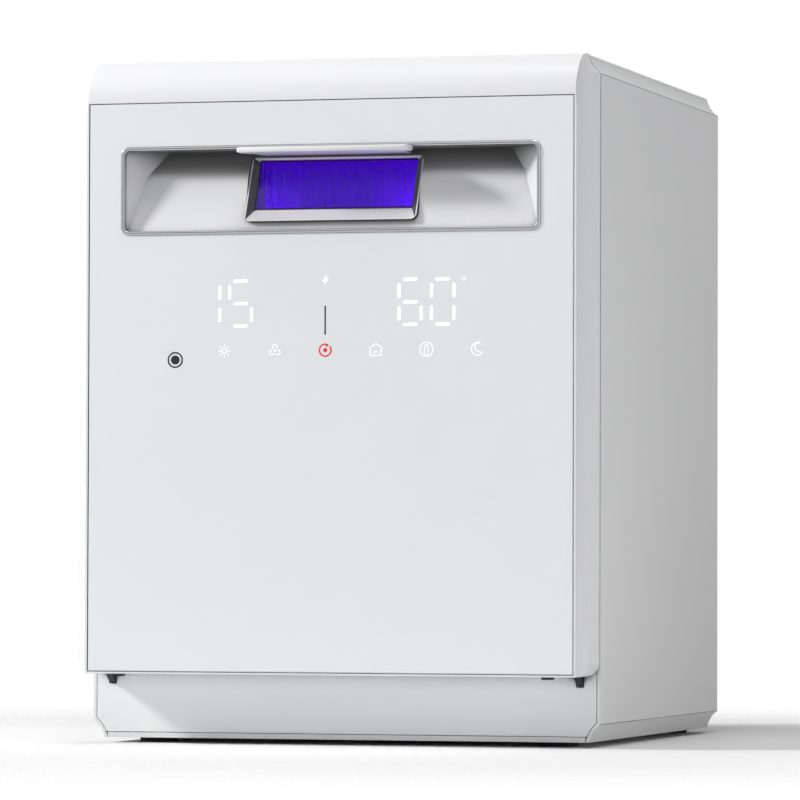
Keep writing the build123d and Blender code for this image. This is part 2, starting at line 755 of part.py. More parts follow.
# Feet and their screws
for (foot_x, foot_y), name in zip(foot_places, ("front_left", "front_right", "rear_left", "rear_right")):
    with BuildPart() as foot:
        with BuildSketch(top_view(0)):
            with Locations((foot_x, foot_y)):
                Circle(foot_radius)
        with BuildSketch(top_view(-foot_height)):
            with Locations((foot_x, foot_y)):
                Circle(foot_bottom_radius)
        loft()
        with BuildSketch(top_view(-foot_height)):
            with Locations((foot_x, foot_y)):
                Circle(foot_screw_head_radius + 0.4)
        extrude(amount=foot_height * 0.6, mode=Mode.SUBTRACT)
        with BuildSketch(top_view(-foot_height)):
            with Locations((foot_x, foot_y)):
                Circle(foot_screw_radius)
        extrude(amount=foot_height, mode=Mode.SUBTRACT)
    finish(foot, f"{name}_foot")

with BuildPart() as foot_screws:
    with BuildSketch(top_view(-foot_height * 0.8)):
        with Locations(*foot_places):
            Circle(foot_screw_head_radius)
    extrude(amount=foot_height * 0.4)
    with BuildSketch(top_view(-foot_height * 0.8)):
        with Locations(*foot_places):
            Circle(foot_screw_radius - 0.1)
    extrude(amount=foot_height * 0.8 + tray_thickness + board_standoff - 2)
finish(foot_screws, "foot_screws")

# Hinge brackets stand on the base tray and reach forward through the apron's
# slots into the door's lower back corners, where they hold the pins
for side_name, sign in (("left", -1), ("right", 1)):
    with BuildPart() as bracket:
        inside_x = sign * bracket_x - bracket_thickness / 2
        with BuildSketch(side_view(inside_x)):
            with BuildLine():
                Polyline(
                    (pivot_y, pivot_z + bracket_nose_radius * 0.5),
                    (apron_thickness + 4, apron_height - 1.0),
                    (apron_thickness + bracket_depth, apron_height - 8),
                    (apron_thickness + bracket_depth, tray_thickness),
                    (apron_thickness + 4, tray_thickness),
                    (apron_thickness + 1, slot_bottom + 0.6),
                    (-1.0, slot_bottom + 0.6),
                    (pivot_y - bracket_nose_radius * 0.6, pivot_z - bracket_nose_radius * 0.8),
                    close=True,
                )
            make_face()
            with Locations((pivot_y, pivot_z)):
                Circle(bracket_nose_radius)
                Circle(hinge_pin_radius, mode=Mode.SUBTRACT)
        extrude(amount=bracket_thickness)
    finish(bracket, f"{side_name}_hinge_bracket")
    with BuildPart() as hinge_pin:
        with BuildSketch(side_view(sign * bracket_x - hinge_pin_length / 2)):
            with Locations((pivot_y, pivot_z)):
                Circle(hinge_pin_radius)
        extrude(amount=hinge_pin_length)
    finish(hinge_pin, f"{side_name}_hinge_pin")


def door_side_profile(inset, front, bottom):
    """The door seen from the right: straight front, rolled top, round lower back corner."""
    radius = door_top_radius - inset
    centre_y = -door_reach + door_top_radius
    centre_z = body_height - door_top_radius
    top = body_height - inset
    with BuildSketch() as profile:
        with BuildLine():
            Line((-door_gap, top), (centre_y, top))
            Line((front, centre_z), (front, bottom))
            RadiusArc((centre_y, top), (centre_y - radius, centre_z), -radius)
            if front > centre_y - radius:
                Line((centre_y - radius, centre_z), (front, centre_z))
            Line((front, bottom), (-door_gap, bottom))
            Line((-door_gap, bottom), (-door_gap, top))
        make_face()
    return profile.sketch


# Door frame: the door's white shell, with a pocket for the glass in front, a
# rolled top and the same cove down its sides as the cabinet
frame_inner_half = cover_half - door_wall
hinge_block_top = pivot_z + 12.0
hinge_block_half = bracket_x - hinge_pin_length / 2 - 4.0
glass_bottom = door_bottom + glass_bottom_margin
pocket_half = glass_half_width + seam_gap
with BuildPart() as cove_cutter:
    with BuildLine() as cove_path:
        side_arc_y = -door_side_reach + door_side_radius
        side_arc_z = side_top - door_side_radius
        bottom_point = (body_half, body_front_y - door_side_reach, base_z + door_bottom - 5)
        bend_point = (body_half, body_front_y - door_side_reach, base_z + side_arc_z)
        top_point = (body_half, body_front_y + side_arc_y, base_z + side_top)
        rise = Line(bottom_point, bend_point)
        TangentArc(bend_point, top_point, tangent=(0, 0, 1))
        Line(top_point, (body_half, body_front_y + 1, base_z + side_top))
    with BuildSketch(top_view(door_bottom - 5)):
        with BuildLine():
            outer_front = -door_side_reach - 16
            scoop_end = (cover_half, -door_side_reach - top_cove_height)
            RadiusArc((body_half, -door_side_reach), scoop_end, -cove_radius)
            Line(scoop_end, (cover_half, outer_front))
            Line((cover_half, outer_front), (body_half + 8, outer_front))
            Line((body_half + 8, outer_front), (body_half + 8, -door_side_reach))
            Line((body_half + 8, -door_side_reach), (body_half, -door_side_reach))
        make_face()
    sweep()
left_cove_cutter = mirror(cove_cutter.part, about=Plane.YZ)

post_x = frame_inner_half - post_side_margin
post_heights = (
    hinge_block_top + 14.8,
    board_bottom - 15.0,
    recess_bottom - recess_wall - recess_flange - post_radius - 2.0,
    body_height - 15.5,
)
frame_post_places = [(x, z) for x in (-post_x, post_x) for z in post_heights]
recess_outer_half = recess_half_width + recess_wall
with BuildPart() as door_frame:
    with BuildSketch(side_view(-body_half)):
        add(door_side_profile(0, -door_reach, door_bottom))
        with Locations((pivot_y + pivot_from_back / 2, door_bottom + pivot_from_back / 2)):
            Rectangle(pivot_from_back, pivot_from_back, mode=Mode.SUBTRACT)
        with Locations((pivot_y, pivot_z)):
            Circle(pivot_from_back)
    extrude(amount=body_width)
    add(cove_cutter.part, mode=Mode.SUBTRACT)
    add(left_cove_cutter, mode=Mode.SUBTRACT)
    with BuildSketch(front_view(1)):
        with BuildLine():
            corner_z = door_bottom + door_corner_radius
            corner_x = body_half - door_corner_radius
            Line((-body_half, body_height), (body_half, body_height))
            Line((body_half, body_height), (body_half, corner_z))
            RadiusArc((body_half, corner_z), (corner_x, door_bottom), door_corner_radius)
            Line((corner_x, door_bottom), (-corner_x, door_bottom))
            RadiusArc((-corner_x, door_bottom), (-body_half, corner_z), door_corner_radius)
            Line((-body_half, corner_z), (-body_half, body_height))
        make_face()
    extrude(amount=door_reach + 5, mode=Mode.INTERSECT)
    with BuildSketch(side_view(-frame_inner_half)):
        add(door_side_profile(door_wall, frame_wall_back, door_bottom + door_wall))
    extrude(amount=2 * frame_inner_half, mode=Mode.SUBTRACT)
    for sign in (-1, 1):
        block(sorted((sign * hinge_block_half, sign * (frame_inner_half + 0.5))),
              (frame_wall_back - 0.5, -door_gap - pivot_from_back / 2 + 3.0),
              (door_bottom + door_wall - 0.5, hinge_block_top))
    with BuildSketch(side_view(-body_half)):
        with Locations((-door_gap - pivot_from_back / 2, door_bottom + pivot_from_back / 2)):
            Rectangle(pivot_from_back, pivot_from_back)
        with Locations((pivot_y, pivot_z)):
            Circle(pivot_from_back, mode=Mode.SUBTRACT)
    extrude(amount=body_width, mode=Mode.SUBTRACT)
    with BuildSketch(front_view(-door_reach)):
        add(span(glass_bottom - seam_gap, glass_top + seam_gap, pocket_half))
    extrude(amount=-glass_thickness, mode=Mode.SUBTRACT)
    with BuildSketch(front_view(glass_back)):
        add(span(recess_bottom - recess_wall - window_fit, recess_top + recess_wall + window_fit,
                 recess_outer_half + window_fit))
        add(span(board_bottom + 6, board_top - 2, board_half_width - 2))
    extrude(amount=-door_wall, mode=Mode.SUBTRACT)
    with BuildSketch(front_view(frame_wall_back)):
        with Locations(*frame_post_places):
            Circle(post_radius)
    extrude(amount=-(inner_panel_front - frame_wall_back))
    with BuildSketch(front_view(inner_panel_front)):
        with Locations(*frame_post_places):
            Circle(1.3)
    extrude(amount=10.0, mode=Mode.SUBTRACT)
    for sign in (-1, 1):
        slot_width = bracket_thickness / 2 + bracket_side_clearance
        block((sign * bracket_x - slot_width, sign * bracket_x + slot_width),
              (pivot_y - 13.0, 1), (door_bottom - 1, pivot_z + bracket_nose_radius + 1.2),
              mode=Mode.SUBTRACT)
        with BuildSketch(side_view(sign * bracket_x - hinge_pin_length / 2 - 0.3)):
            with Locations((pivot_y, pivot_z)):
                Circle(hinge_pin_radius + hinge_pin_fit)
        extrude(amount=hinge_pin_length + 0.6, mode=Mode.SUBTRACT)
        block((sign * stop_pad_x - stop_pad_width / 2, sign * stop_pad_x + stop_pad_width / 2),
              (-stop_pad_back - stop_pad_length / 2, -stop_pad_back + stop_pad_length / 2),
              (door_bottom - 1, door_bottom + 1.2), mode=Mode.SUBTRACT)
finish(door_frame, "door_frame")

with BuildPart() as door_stop_pads:
    for sign in (-1, 1):
        block((sign * stop_pad_x - stop_pad_width / 2, sign * stop_pad_x + stop_pad_width / 2),
              (-stop_pad_back - stop_pad_length / 2, -stop_pad_back + stop_pad_length / 2),
              (door_bottom - stop_pad_proud, door_bottom + 1.2))
    fillet(door_stop_pads.faces().group_by(Axis.Z)[0].edges(), 0.6)
finish(door_stop_pads, "door_stop_pads")

# Door glass: a flat plate, white on its back, with a long opening for the recess
trim_outer_half = recess_half_width + trim_width
trim_middle = (recess_bottom + recess_top) / 2
trim_height = recess_top - recess_bottom
with BuildPart() as door_glass:
    with BuildSketch(front_view(-door_reach)):
        add(span(glass_bottom, glass_top, glass_half_width))
        with Locations((0, trim_middle)):
            RectangleRounded(2 * (trim_outer_half + 0.1), trim_height + 2 * (trim_width + 0.1),
                             trim_corner_radius + 0.1, mode=Mode.SUBTRACT)
    extrude(amount=-glass_thickness)
    chamfer(door_glass.faces().sort_by(Axis.Y)[0].outer_wire().edges(), 0.5)
finish(door_glass, "door_glass")

# Recess trim: a bright ring lining the glass opening
with BuildPart() as recess_trim:
    with BuildSketch(front_view(glass_back)):
        with Locations((0, trim_middle)):
            RectangleRounded(2 * trim_outer_half, trim_height + 2 * trim_width, trim_corner_radius)
            RectangleRounded(2 * recess_half_width, trim_height, trim_corner_radius - trim_width,
                             mode=Mode.SUBTRACT)
    extrude(amount=glass_thickness + trim_proud)
    fillet(recess_trim.faces().sort_by(Axis.Y)[0].edges(), 0.6)
finish(recess_trim, "recess_trim")

# Handle recess: a scoop whose back leans in two slopes and whose sides splay out
recess_floor_back = -door_reach + recess_depth


def recess_side(grow):
    """The scoop seen from the right, grown outwards by the given wall."""
    with BuildSketch() as side:
        with BuildLine():
            Polyline(
                (glass_back, recess_bottom),
                (-door_reach + recess_fold_depth, recess_fold_height),
                (recess_floor_back, recess_top),
                (glass_back, recess_top),
                close=True,
            )
        make_face()
        fillet(side.vertices().sort_by(Axis.Y)[1], recess_fold_radius)
    if grow == 0:
        return side.sketch
    return offset(side.sketch, amount=grow, kind=Kind.INTERSECTION, mode=Mode.PRIVATE)


def recess_top_view(grow):
    """The scoop seen from above, grown outwards by the given wall."""
    with BuildSketch() as plan:
        with BuildLine():
            Polyline(
                (-recess_half_width, glass_back),
                (-recess_back_half_width, recess_floor_back),
                (recess_back_half_width, recess_floor_back),
                (recess_half_width, glass_back),
                close=True,
            )
        make_face()
    if grow == 0:
        return plan.sketch
    return offset(plan.sketch, amount=grow, kind=Kind.INTERSECTION, mode=Mode.PRIVATE)


def recess_solid(grow):
    """The space of the scoop, or with grow its outer form."""
    with BuildPart() as scoop:
        with BuildSketch(side_view(-recess_half_width - 2 * grow - 4)):
            add(recess_side(grow))
        extrude(amount=2 * (recess_half_width + 2 * grow + 4))
        with BuildSketch(top_view(recess_bottom - 10)):
            add(recess_top_view(grow))
        extrude(amount=trim_height + 20, mode=Mode.INTERSECT)
        block((-recess_half_width - grow, recess_half_width + grow), (-door_reach - 5, 0),
              (recess_bottom - grow, recess_top + grow), mode=Mode.INTERSECT)
    return scoop.part


window_front_y = -door_reach + window_bottom_depth
window_top_y = -door_reach + window_top_depth
window_height = window_top - window_bottom
window_lean = atan2(window_top_depth - window_bottom_depth, window_height)
window_length = hypot(window_top_depth - window_bottom_depth, window_height)
window_middle_y = (window_front_y + window_top_y) / 2
window_middle_z = (window_bottom + window_top) / 2
window_plane = Plane(
    origin=(0, body_front_y + window_middle_y, base_z + window_middle_z),
    x_dir=(1, 0, 0),
    z_dir=(0, -cos(window_lean), sin(window_lean)),
)
tunnel_back = inner_panel_front - pane_thickness - 0.5


def window_block(grow, forward):
    """The window frame's outer form: leaning front, upright back."""
    with BuildPart() as form:
        with BuildSketch(side_view(-window_half_width - grow)):
            with BuildLine():
                Polyline(
                    (window_front_y - forward, window_bottom - grow),
                    (window_top_y - forward, window_top + grow),
                    (tunnel_back + grow, window_top + grow),
                    (tunnel_back + grow, window_bottom - grow),
                    close=True,
                )
            make_face()
        extrude(amount=2 * (window_half_width + grow))
        with BuildSketch(front_view(0)):
            with Locations((0, window_middle_z)):
                RectangleRounded(2 * (window_half_width + grow), window_height + 2 * grow,
                                 window_corner_radius + grow)
        extrude(amount=door_reach + 30, mode=Mode.INTERSECT)
    return form.part


with BuildPart() as handle_recess:
    add(recess_solid(recess_wall))
    block((-recess_outer_half - recess_flange, recess_outer_half + recess_flange),
          (frame_wall_back, frame_wall_back + recess_wall),
          (recess_bottom - recess_wall - recess_flange, recess_top + recess_wall + recess_flange))
    block((-body_half, body_half), (-door_reach - 10, glass_back), (0, body_height), mode=Mode.SUBTRACT)
    add(recess_solid(0), mode=Mode.SUBTRACT)
    add(window_block(window_fit, 10.0), mode=Mode.SUBTRACT)
finish(handle_recess, "handle_recess")

# Window frame: a leaning picture frame, splayed in to the pane, with a tunnel
# to the back of the door
tunnel_half = window_half_width - window_border
pane_bottom_margin = window_sill / cos(window_lean)
pane_length = window_length - pane_bottom_margin - window_head
pane_middle = (pane_bottom_margin - window_head) / 2
with BuildPart() as window_frame:
    add(window_block(0, 0))
    with BuildSketch(window_plane.offset(0.1)):
        Rectangle(2 * (window_half_width - window_rim), window_length - 2 * window_rim)
    with BuildSketch(window_plane.offset(-pane_set_back)):
        with Locations((0, pane_middle)):
            Rectangle(2 * tunnel_half, pane_length)
    loft(mode=Mode.SUBTRACT)
    with BuildSketch(window_plane.offset(-pane_set_back)):
        with Locations((0, pane_middle)):
            Rectangle(2 * (tunnel_half + pane_edge + 0.2), pane_length + 2 * (pane_edge + 0.2))
    extrude(amount=-pane_thickness - 0.2, mode=Mode.SUBTRACT)
    with BuildSketch(side_view(-tunnel_half)):
        with BuildLine():
            Polyline(
                (window_front_y + 2, window_bottom + window_sill),
                (window_top_y + 1, window_top - window_head),
                (tunnel_back + 1, window_top - window_head),
                (tunnel_back + 1, window_bottom + window_sill),
                close=True,
            )
        make_face()
    extrude(amount=2 * tunnel_half, mode=Mode.SUBTRACT)
finish(window_frame, "window_frame")

with BuildPart() as window_pane:
    with BuildSketch(window_plane.offset(-pane_set_back)):
        with Locations((0, pane_middle)):
            Rectangle(2 * (tunnel_half + pane_edge), pane_length + 2 * pane_edge)
    extrude(amount=-pane_thickness)
finish(window_pane, "window_pane")

# Handle lip: the finger pull under the recess's ceiling, proud of the glass
with BuildPart() as handle_lip:
    lip_back = -door_reach + window_top_depth - 2.0
    block((-lip_half_width, lip_half_width), (-door_reach - lip_reach, lip_back),
          (recess_top - lip_thickness, recess_top))
    lip_front_corners = handle_lip.edges().filter_by(Axis.Z).group_by(Axis.Y)[0]
    fillet(lip_front_corners, lip_corner_radius)
    lip_front_edges = handle_lip.faces().sort_by(Axis.Y)[0].edges().filter_by(Axis.X)
    fillet(lip_front_edges, lip_thickness * 0.4)
finish(handle_lip, "handle_lip")

# Inner panel: closes the back of the door, with the inner pane over the window
window_open_half = tunnel_half
window_open_bottom = window_bottom + window_sill
with BuildPart() as door_inner_panel:
    with BuildSketch(front_view(inner_panel_front)):
        add(span(hinge_block_top + 1, body_height - door_wall - seam_gap, frame_inner_half - seam_gap))
        with Locations((0, (window_open_bottom + window_top) / 2)):
            RectangleRounded(2 * window_open_half, window_top - window_open_bottom, 3.0, mode=Mode.SUBTRACT)
        with Locations(*frame_post_places):
            Circle(1.5, mode=Mode.SUBTRACT)
    extrude(amount=-(inner_panel_thickness - 0.2))
finish(door_inner_panel, "door_inner_panel")

with BuildPart() as inner_pane:
    block((-window_open_half - 3, window_open_half + 3),
          (inner_panel_front - pane_thickness, inner_panel_front),
          (window_open_bottom - 3, window_top + 3))
finish(inner_pane, "inner_pane")

with BuildPart() as door_screws:
    screw_back = inner_panel_front + inner_panel_thickness - 0.2
    with BuildSketch(front_view(screw_back)):
        with Locations(*frame_post_places):
            Circle(1.2)
    extrude(amount=9.0)
finish(door_screws, "door_screws")

# Display: a board behind the glass with two digit modules and a row of light guides
board_front = frame_wall_back
with BuildPart() as display_board:
    block((-board_half_width, board_half_width), (board_front, board_front + board_thickness),
          (board_bottom, board_top))
    chip_front = board_front + board_thickness
    block((60, 84), (chip_front, chip_front + 6), (board_bottom + 19, board_bottom + 35))
    block((-40, -10), (chip_front, chip_front + 3), (board_bottom + 21, board_bottom + 41))
finish(display_board, "display_board")

light_depth = door_wall - light_clearance
with BuildPart() as digit_modules:
    with BuildSketch(front_view(board_front)):
        with Locations((left_digits_x, digits_z), (right_digits_x, digits_z)):
            Rectangle(digit_module_width, digit_module_height)
    extrude(amount=light_depth)
finish(digit_modules, "digit_modules")

with BuildPart() as light_guides:
    with BuildSketch(front_view(board_front)):
        for index in range(icon_count):
            with Locations((icon_first_x + index * icon_spacing, icon_row_z)):
                Circle(light_guide_radius)
        with Locations((power_light_x, power_light_z)):
            Circle(light_guide_radius)
    extrude(amount=light_depth)
finish(light_guides, "light_guides")

# Striker plates and sensor magnet, glued behind the inner panel
with BuildPart() as striker_plates:
    with BuildSketch(front_view(inner_panel_front)):
        with Locations((-latch_x, latch_z), (latch_x, latch_z)):
            Rectangle(*latch_size)
    extrude(amount=1.5)
finish(striker_plates, "striker_plates")

with BuildPart() as sensor_magnet:
    block((sensor_span_x[0] + 2, sensor_span_x[1] - 2), (inner_panel_front - 4, inner_panel_front),
          (sensor_span_z[0] + 1, sensor_span_z[1] - 1))
finish(sensor_magnet, "sensor_magnet")
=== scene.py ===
import bpy
from math import cos, radians, sin
from mathutils import Matrix, Vector


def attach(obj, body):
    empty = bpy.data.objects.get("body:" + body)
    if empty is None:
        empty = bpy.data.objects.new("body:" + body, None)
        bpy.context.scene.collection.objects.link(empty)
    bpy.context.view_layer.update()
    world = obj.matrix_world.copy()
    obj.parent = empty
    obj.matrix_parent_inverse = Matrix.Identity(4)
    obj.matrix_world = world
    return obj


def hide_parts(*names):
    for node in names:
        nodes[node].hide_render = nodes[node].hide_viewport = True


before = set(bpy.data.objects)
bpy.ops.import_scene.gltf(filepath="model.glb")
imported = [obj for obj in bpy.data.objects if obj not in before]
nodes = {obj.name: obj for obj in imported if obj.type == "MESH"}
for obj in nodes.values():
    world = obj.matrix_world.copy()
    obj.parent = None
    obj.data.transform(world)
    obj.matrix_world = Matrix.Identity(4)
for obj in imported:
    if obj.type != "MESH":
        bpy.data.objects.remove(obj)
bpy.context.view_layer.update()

# Places on the object, in metres: the cabinet's front plane, underside and back, the door's
# glass, and the side panels' faces with the heights where their scooped edges begin
front_plane_y = -0.12895
underside_z = 0.003
glass_y = front_plane_y - 0.0335
cabinet_back_y = 0.17605
side_x = 0.150
cove_bottom_z = 0.0132
cove_top_z = 0.3795


def links_of(owner):
    return owner.node_tree.links


def add_node(owner, kind, **properties):
    """A shader node of a material or of the world, with the given properties."""
    node = owner.node_tree.nodes.new(kind)
    for name, value in properties.items():
        setattr(node, name, value)
    return node


def new_material(name):
    material = bpy.data.materials.new(name)
    material.use_nodes = True
    shader = material.node_tree.nodes["Principled BSDF"]
    return material, shader


def shade_range(material, factor, low, high):
    """A colour that runs from low to high as the factor runs from 0 to 1."""
    mix = add_node(material, "ShaderNodeMix", data_type="RGBA")
    mix.inputs["A"].default_value = (*low, 1.0)
    mix.inputs["B"].default_value = (*high, 1.0)
    links_of(material).new(factor, mix.inputs["Factor"])
    return mix.outputs["Result"]


def mapped(owner, source, near, far, low=0.0, high=1.0, interpolation="SMOOTHSTEP"):
    """A value that runs from low to high as the source runs from near to far."""
    span = add_node(owner, "ShaderNodeMapRange", interpolation_type=interpolation)
    for socket, value in (("From Min", near), ("From Max", far), ("To Min", low), ("To Max", high)):
        span.inputs[socket].default_value = value
    links_of(owner).new(source, span.inputs["Value"])
    return span.outputs["Result"]


def noise_range(material, texture, low, high):
    """A value that runs from low to high over most of a noise texture's spread."""
    return mapped(material, texture.outputs["Fac"], 0.3, 0.7, low, high, "LINEAR")


def noise(material, vector, scale, detail=2.0):
    texture = add_node(material, "ShaderNodeTexNoise")
    texture.inputs["Scale"].default_value = scale
    texture.inputs["Detail"].default_value = detail
    links_of(material).new(vector, texture.inputs["Vector"])
    return texture


def dimmed(material, tone, share):
    """The tone times the share."""
    product = add_node(material, "ShaderNodeMix", data_type="RGBA", blend_type="MULTIPLY")
    product.inputs["Factor"].default_value = 1.0
    links_of(material).new(tone, product.inputs["A"])
    links_of(material).new(share, product.inputs["B"])
    return product.outputs["Result"]


def coating(name, colour, roughness, metallic=0.0, variation=0.03, grain=900.0,
            grain_depth=0.00002, patch=9.0, stretch=(1.0, 1.0, 1.0), coat=0.0, edge=0.0005,
            painted_corner_shade=None, painted_side_shade=None):
    """A surface with soft patches of tone and gloss, a fine grain and eased edges.
    The corner shade argument, given as (shade, reach), is painted shade: the tone sinks to that
    share of itself in corners of that reach.
    The side shade argument is painted shade on faces turned to the left or right: the share of the
    tone that they keep."""
    material, shader = new_material(name)
    links = links_of(material)
    place = add_node(material, "ShaderNodeTexCoord").outputs["Object"]
    scale = add_node(material, "ShaderNodeMapping")
    scale.inputs["Scale"].default_value = stretch
    links.new(place, scale.inputs["Vector"])
    patches = noise(material, place, patch, 5.0)
    grains = noise(material, scale.outputs["Vector"], grain, 3.0)
    darker = tuple(part * (1.0 - variation) for part in colour)
    tone = shade_range(material, patches.outputs["Fac"], darker, colour)
    # Painted shade: the tone darkens in corners and recesses, set by ambient occlusion
    if painted_corner_shade:
        shade, reach = painted_corner_shade
        openness = add_node(material, "ShaderNodeAmbientOcclusion", samples=8)
        openness.inputs["Distance"].default_value = reach
        share = mapped(material, openness.outputs["AO"], 0.35, 0.80, shade)
        tone = dimmed(material, tone, share)
    # Painted shade: faces turned to the left or right get a darker tone
    if painted_side_shade:
        facing = add_node(material, "ShaderNodeNewGeometry")
        parts = add_node(material, "ShaderNodeSeparateXYZ")
        links.new(facing.outputs["Normal"], parts.inputs["Vector"])
        sideways = add_node(material, "ShaderNodeMath", operation="ABSOLUTE")
        links.new(parts.outputs["X"], sideways.inputs[0])
        share = mapped(material, sideways.outputs["Value"], 0.15, 0.45, 1.0, painted_side_shade)
        tone = dimmed(material, tone, share)
    links.new(tone, shader.inputs["Base Color"])
    links.new(noise_range(material, grains, *roughness), shader.inputs["Roughness"])
    eased = add_node(material, "ShaderNodeBevel", samples=4)
    eased.inputs["Radius"].default_value = edge
    bump = add_node(material, "ShaderNodeBump")
    bump.inputs["Distance"].default_value = grain_depth
    bump.inputs["Strength"].default_value = 0.6
    links.new(eased.outputs["Normal"], bump.inputs["Normal"])
    links.new(grains.outputs["Fac"], bump.inputs["Height"])
    links.new(bump.outputs["Normal"], shader.inputs["Normal"])
    shader.inputs["Metallic"].default_value = metallic
    shader.inputs["Coat Weight"].default_value = coat
    shader.inputs["Coat Roughness"].default_value = 0.03
    return material


white_shell = coating("white_shell", (0.80, 0.80, 0.805), (0.38, 0.50),
                      variation=0.02, grain=1600.0)
# The tones of white_gloss, door_white, recess_white, lip_white and window_white carry painted shade
# in their corners, and window_white also carries painted shade on its sideways faces
white_gloss = coating("white_gloss", (0.84, 0.845, 0.85), (0.12, 0.20),
                      variation=0.015, grain=500.0, coat=0.5, painted_corner_shade=(0.08, 0.007))
door_white = coating("door_white", (0.80, 0.80, 0.81), (0.28, 0.38),
                     variation=0.015, grain=700.0, painted_corner_shade=(0.10, 0.006))
white_matte = coating("white_matte", (0.78, 0.78, 0.785), (0.42, 0.55), grain=1800.0)
recess_white = coating("recess_white", (0.80, 0.80, 0.81), (0.26, 0.36),
                       variation=0.02, grain=1500.0, painted_corner_shade=(0.15, 0.055))
lip_white = coating("lip_white", (0.80, 0.80, 0.81), (0.18, 0.28),
                    variation=0.02, edge=0.0003, painted_corner_shade=(0.30, 0.025))
window_white = coating("window_white", (0.80, 0.79, 0.82), (0.22, 0.32),
                       variation=0.02, grain=1500.0, painted_corner_shade=(0.35, 0.010), painted_side_shade=0.12)
door_glass_white = coating("door_glass_white", (0.83, 0.845, 0.855), (0.10, 0.16),
                           variation=0.01, grain=40.0, grain_depth=0.000002, patch=3.0,
                           coat=1.0, edge=0.0004)
bright_trim = coating("bright_trim", (0.50, 0.50, 0.51), (0.16, 0.26), metallic=1.0,
                      grain=1200.0, stretch=(0.05, 1.0, 1.0), edge=0.0003)
liner_steel = coating("liner_steel", (0.72, 0.72, 0.74), (0.20, 0.34), metallic=1.0,
                      variation=0.08, grain=420.0, patch=14.0, stretch=(1.0, 1.0, 0.04))
wire_steel = coating("wire_steel", (0.80, 0.80, 0.82), (0.08, 0.20), metallic=1.0,
                     grain=700.0)
zinc_steel = coating("zinc_steel", (0.58, 0.58, 0.60), (0.25, 0.42), metallic=1.0,
                     variation=0.12)
heater_metal = coating("heater_metal", (0.55, 0.55, 0.56), (0.30, 0.45), metallic=1.0,
                       grain=700.0)
black_paint = coating("black_paint", (0.018, 0.018, 0.02), (0.32, 0.48),
                      variation=0.2, grain=1100.0)
black_moulding = coating("black_moulding", (0.025, 0.025, 0.027), (0.38, 0.55),
                         variation=0.2, grain=1500.0)
black_rubber = coating("black_rubber", (0.022, 0.022, 0.023), (0.60, 0.80),
                       variation=0.25, grain=1300.0, grain_depth=0.00005)
grey_silicone = coating("grey_silicone", (0.52, 0.52, 0.54), (0.40, 0.55), variation=0.06)
grey_moulding = coating("grey_moulding", (0.34, 0.34, 0.36), (0.40, 0.55),
                        variation=0.08, grain=1400.0)
board_green = coating("board_green", (0.015, 0.11, 0.045), (0.28, 0.42),
                      variation=0.35, grain=650.0, grain_depth=0.00006, patch=90.0)
filter_paper = coating("filter_paper", (0.74, 0.73, 0.69), (0.75, 0.95),
                       variation=0.08, grain_depth=0.00012, patch=60.0)
light_white = coating("light_white", (0.88, 0.88, 0.90), (0.30, 0.42))
# Dark grey for the painted shadow lines along the side panels and for the dark line on the trim
dark_line_grey = coating("dark_line_grey", (0.10, 0.10, 0.105), (0.30, 0.40))
ink_black = coating("ink_black", (0.006, 0.006, 0.007), (0.22, 0.34),
                    variation=0.3, grain=800.0)


def glowing(name, colour, strength):
    """A printed or lit mark: its light varies a little across it."""
    material, shader = new_material(name)
    links = links_of(material)
    place = add_node(material, "ShaderNodeTexCoord").outputs["Object"]
    cloud = noise(material, place, 300.0)
    links.new(noise_range(material, cloud, strength * 0.92, strength),
              shader.inputs["Emission Strength"])
    shader.inputs["Emission Color"].default_value = (*colour, 1.0)
    darker = tuple(0.9 * part for part in colour)
    tone = shade_range(material, cloud.outputs["Fac"], darker, colour)
    links.new(tone, shader.inputs["Base Color"])
    shader.inputs["Roughness"].default_value = 0.3
    return material


digit_light = glowing("digit_light", (0.95, 0.97, 1.0), 0.75)
icon_light = glowing("icon_light", (0.95, 0.96, 1.0), 0.35)
red_light = glowing("red_light", (0.75, 0.015, 0.012), 0.12)


def clear_pane(name, tint, haze):
    """A thin clear pane: tinted see-through, with a mirror-like sheen and a faint haze."""
    material = bpy.data.materials.new(name)
    material.use_nodes = True
    tree = material.node_tree
    links = tree.links
    tree.nodes.remove(tree.nodes["Principled BSDF"])
    output = tree.nodes["Material Output"]
    place = add_node(material, "ShaderNodeTexCoord").outputs["Object"]
    smear = noise(material, place, 35.0)
    through = add_node(material, "ShaderNodeBsdfTransparent")
    darker = tuple(0.96 * part for part in tint)
    links.new(shade_range(material, smear.outputs["Fac"], darker, tint), through.inputs["Color"])
    sheen = add_node(material, "ShaderNodeBsdfGlossy")
    links.new(noise_range(material, smear, 0.02, 0.07), sheen.inputs["Roughness"])
    fresnel = add_node(material, "ShaderNodeFresnel")
    fresnel.inputs["IOR"].default_value = 1.45
    mirror = add_node(material, "ShaderNodeMixShader")
    links.new(fresnel.outputs["Fac"], mirror.inputs["Fac"])
    links.new(through.outputs["BSDF"], mirror.inputs[1])
    links.new(sheen.outputs["BSDF"], mirror.inputs[2])
    dust = add_node(material, "ShaderNodeBsdfDiffuse")
    dust.inputs["Color"].default_value = (0.5, 0.4, 0.8, 1.0)
    veil = add_node(material, "ShaderNodeMixShader")
    veil.inputs["Fac"].default_value = haze
    links.new(mirror.outputs["Shader"], veil.inputs[1])
    links.new(dust.outputs["BSDF"], veil.inputs[2])
    links.new(veil.outputs["Shader"], output.inputs["Surface"])
    return material


pane_violet = clear_pane("pane_violet", (0.66, 0.13, 1.0), 0.008)
lamp_pane = clear_pane("lamp_pane", (0.95, 0.93, 1.0), 0.02)

